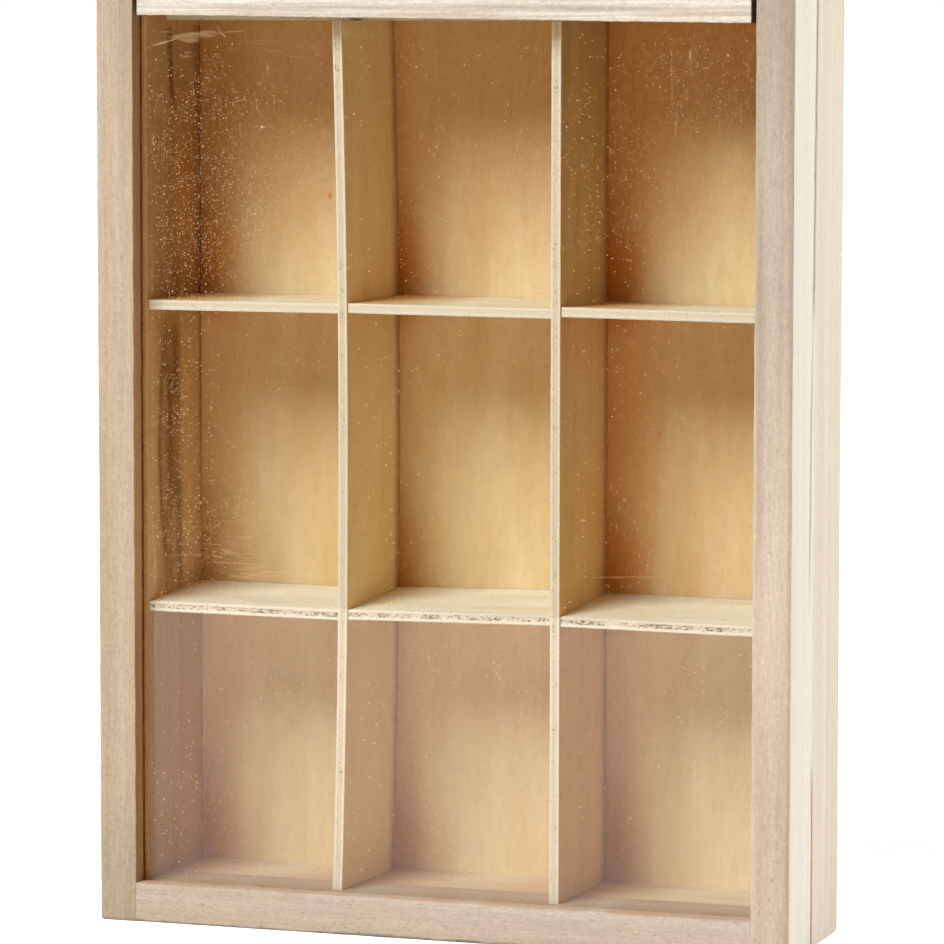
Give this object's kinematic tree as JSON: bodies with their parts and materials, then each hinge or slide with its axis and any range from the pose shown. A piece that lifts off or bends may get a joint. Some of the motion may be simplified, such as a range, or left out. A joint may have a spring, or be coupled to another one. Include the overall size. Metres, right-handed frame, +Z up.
{
  "type": "display case",
  "caption": "Shallow wooden case with small compartments behind a clear pane that slides up out of its grooves, for showing shells and keepsakes.",
  "frame": {"origin": "on the base, midway across the width and the depth", "axes": "+X to the right seen from the front, +Y from the front to the back, +Z up; the pane faces -Y"},
  "size_m": [0.22, 0.055, 0.29],
  "materials": {
    "frame_wood": "bare, sanded",
    "rail_wood": "bare, sanded",
    "case_wood": "bare, sanded",
    "plywood": "bare, sanded",
    "pane_glass": "clear, polished",
    "pin_steel": "bright wire"
  },
  "bodies": {
    "case": {"stile_left": "frame_wood", "stile_right": "frame_wood", "bottom_rail": "frame_wood", "case_side_left": "case_wood", "case_side_right": "case_wood", "case_floor": "case_wood", "case_top": "case_wood", "back_panel": "plywood", "back_panel_pins": "pin_steel", "divider_left": "plywood", "divider_right": "plywood", "shelf_lower_left": "plywood", "shelf_lower_middle": "plywood", "shelf_lower_right": "plywood", "shelf_upper_left": "plywood", "shelf_upper_middle": "plywood", "shelf_upper_right": "plywood"},
    "slider": {"slide_rail": "rail_wood", "glass_pane": "pane_glass"}
  },
  "joints": [
    {"name": "pane_slide", "type": "slide", "parent": "case", "child": "slider", "axis": [0, 0, 1], "range_m": [0, 0.27]}
  ]
}
